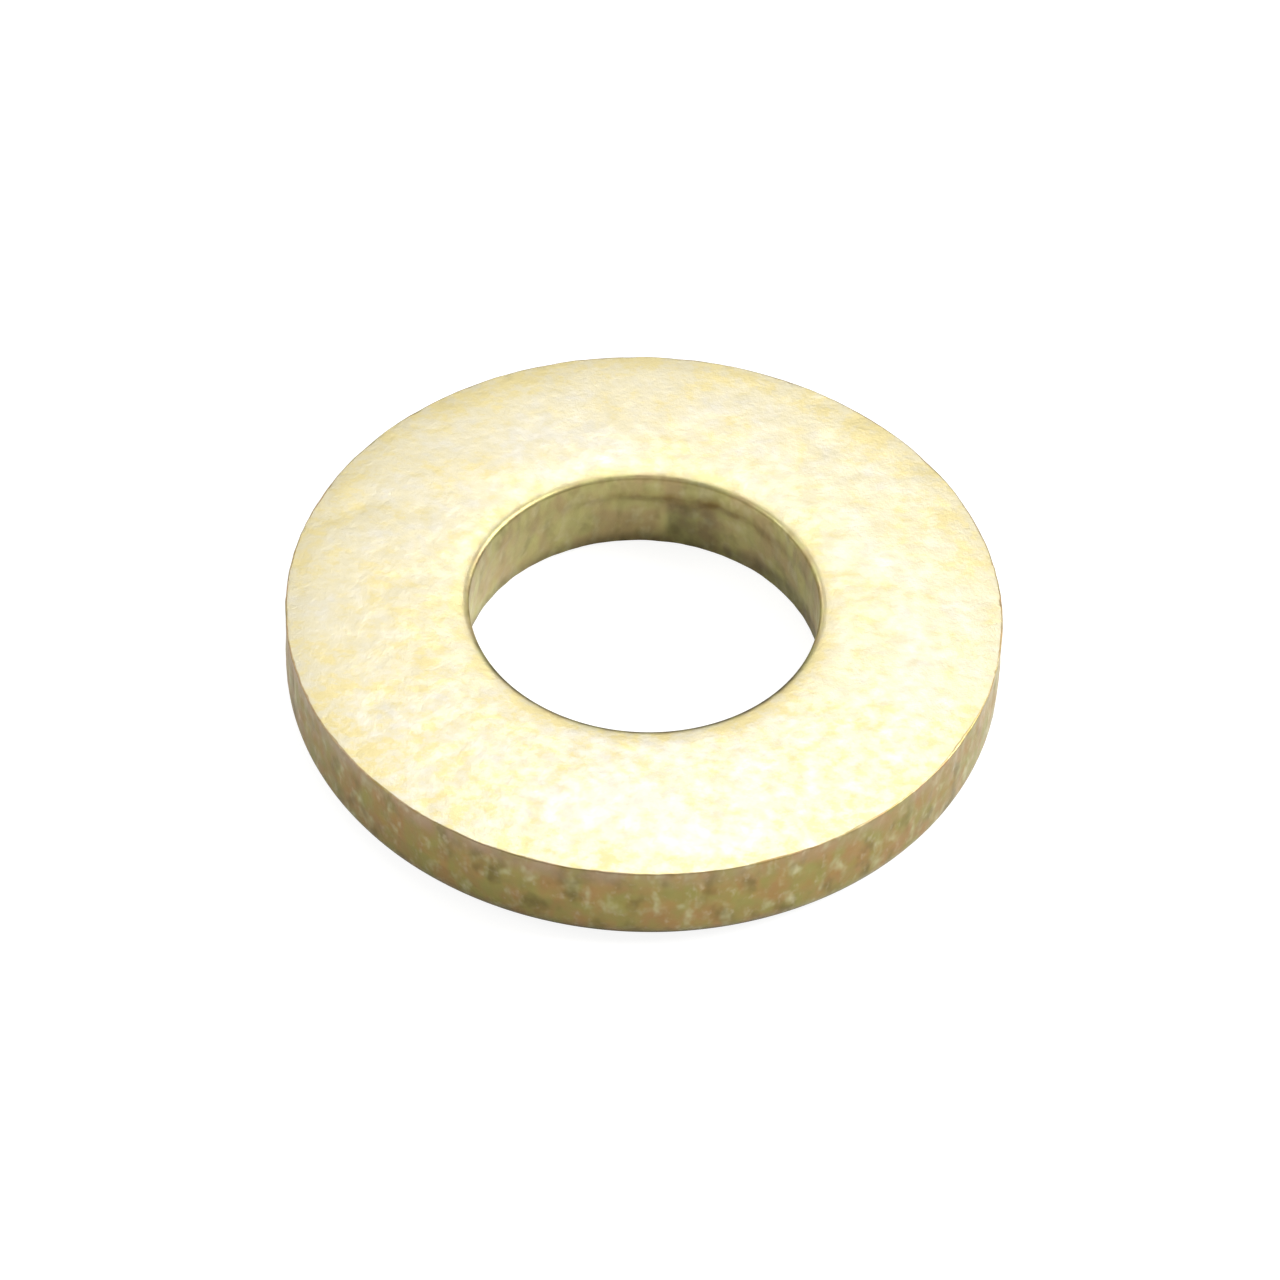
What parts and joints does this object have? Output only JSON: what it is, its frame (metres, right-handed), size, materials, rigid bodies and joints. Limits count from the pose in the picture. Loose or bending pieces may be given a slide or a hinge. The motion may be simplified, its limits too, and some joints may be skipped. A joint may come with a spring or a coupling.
{
  "type": "flat washer",
  "caption": "Thick flat round washer with a plain centre hole; spreads a bolt head's or nut's load and sets its spacing.",
  "frame": {"origin": "centre of the bore in the plane of the bottom face, the face that the washer rests on", "axes": "+Z along the bore axis, from the bottom face (rolled outer edge) to the top face (rolled bore edge); X and Y are any two radii"},
  "size_m": [0.0208, 0.0208, 0.003],
  "materials": {
    "yellow_zinc": "steel, zinc plated with a pale yellow chromate, fine matt grain on the faces, darker olive on the punched walls"
  },
  "bodies": {
    "root": {"washer": "yellow_zinc"}
  },
  "joints": []
}
